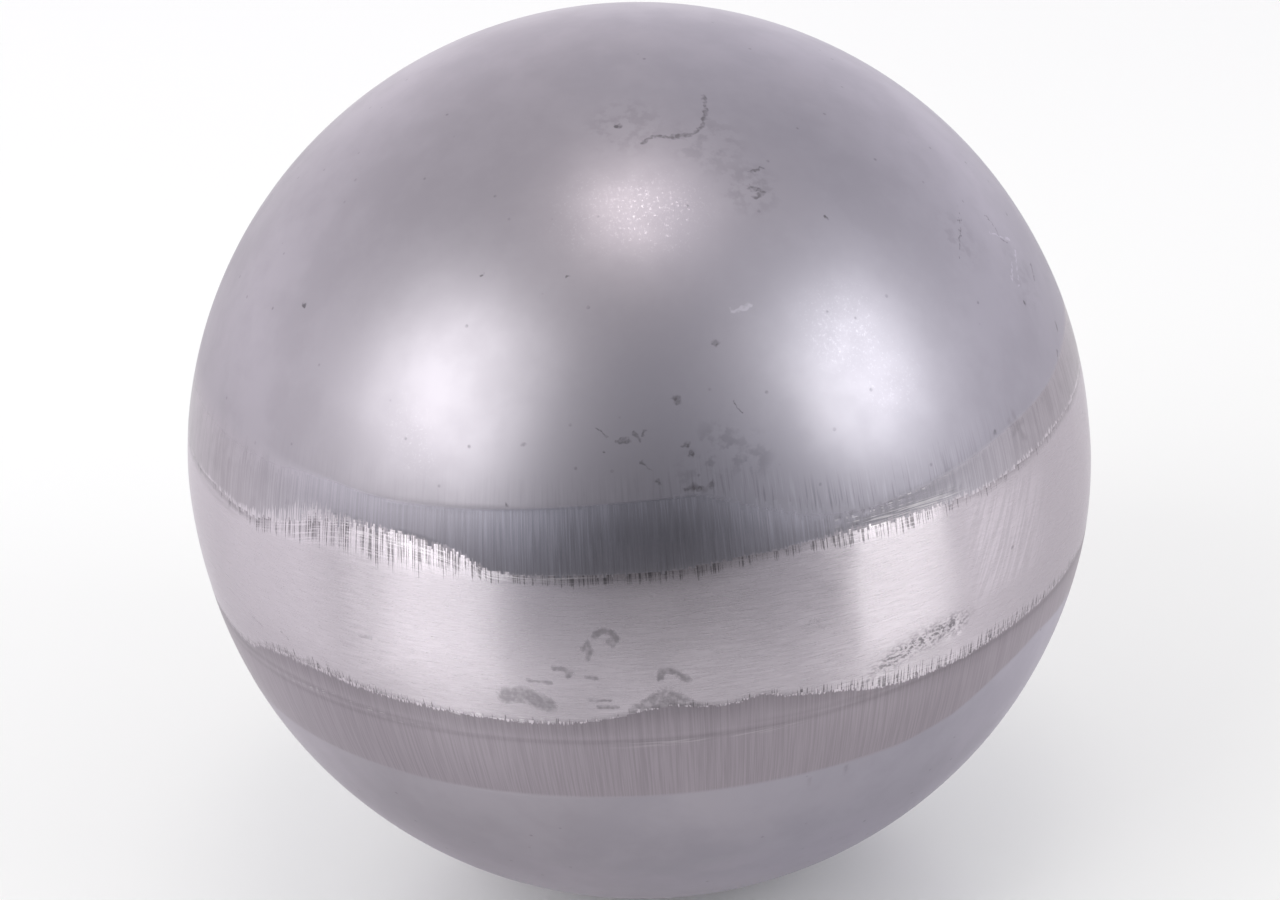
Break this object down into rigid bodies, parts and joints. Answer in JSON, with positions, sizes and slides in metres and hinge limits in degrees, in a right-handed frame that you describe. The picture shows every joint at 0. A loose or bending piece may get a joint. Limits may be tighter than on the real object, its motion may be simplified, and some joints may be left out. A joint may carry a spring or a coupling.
{
  "type": "hollow steel ball",
  "caption": "Hollow satin steel ball of pressed half-shells, butt-welded round the equator and ground flush, used as a finial or ornament on posts, rails and ironwork.",
  "frame": {"origin": "centre of the ball, in the plane of the weld seam", "axes": "+Z through the poles of the pressed halves, square to the weld seam"},
  "size_m": [0.1, 0.1, 0.0994],
  "materials": {
    "pressed_steel": "satin pressed sheet with fine draw marks near the rim",
    "ground_weld": "ground along the seam"
  },
  "bodies": {
    "root": {"upper_half_shell": "pressed_steel", "lower_half_shell": "pressed_steel", "weld_seam": "ground_weld"}
  },
  "joints": []
}
